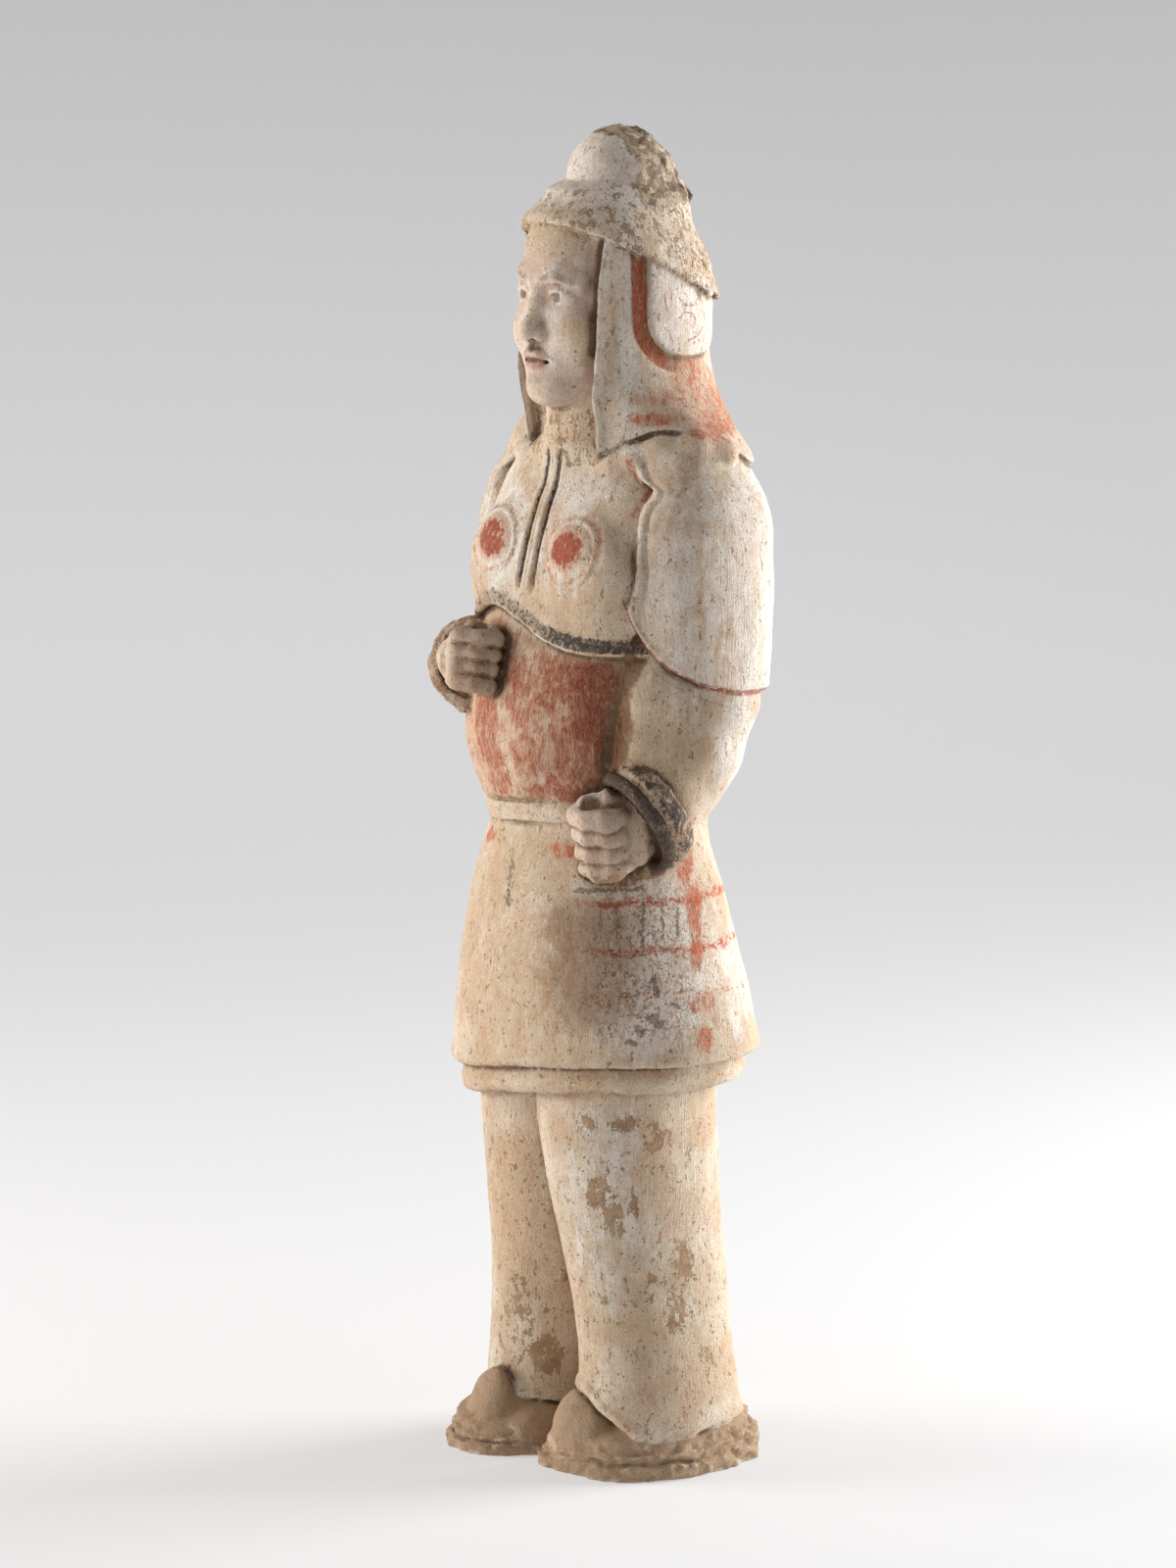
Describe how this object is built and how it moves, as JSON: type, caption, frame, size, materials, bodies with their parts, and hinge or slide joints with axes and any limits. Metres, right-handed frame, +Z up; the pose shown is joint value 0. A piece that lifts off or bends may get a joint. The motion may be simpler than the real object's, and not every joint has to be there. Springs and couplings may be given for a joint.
{
  "type": "pottery warrior figure",
  "caption": "Standing earthenware tomb warrior in round helmet with knob, ear guards and hood, breast discs, arm guards, skirt, wide trousers, fists closed",
  "frame": {"origin": "on the ground under the middle of the figure's bounding box, level with the flat undersides of its foot slabs", "axes": "Z up through the figure; the figure faces -Y, so +X is towards its left hand and +Y towards its back"},
  "size_m": [0.1679, 0.1381, 0.6001],
  "materials": {
    "slipped_earthenware": "matt cream slip brushed over buff clay, with remains of red, black and ochre paint and burial soil"
  },
  "bodies": {
    "root": {"warrior_figure": "slipped_earthenware"}
  },
  "joints": []
}
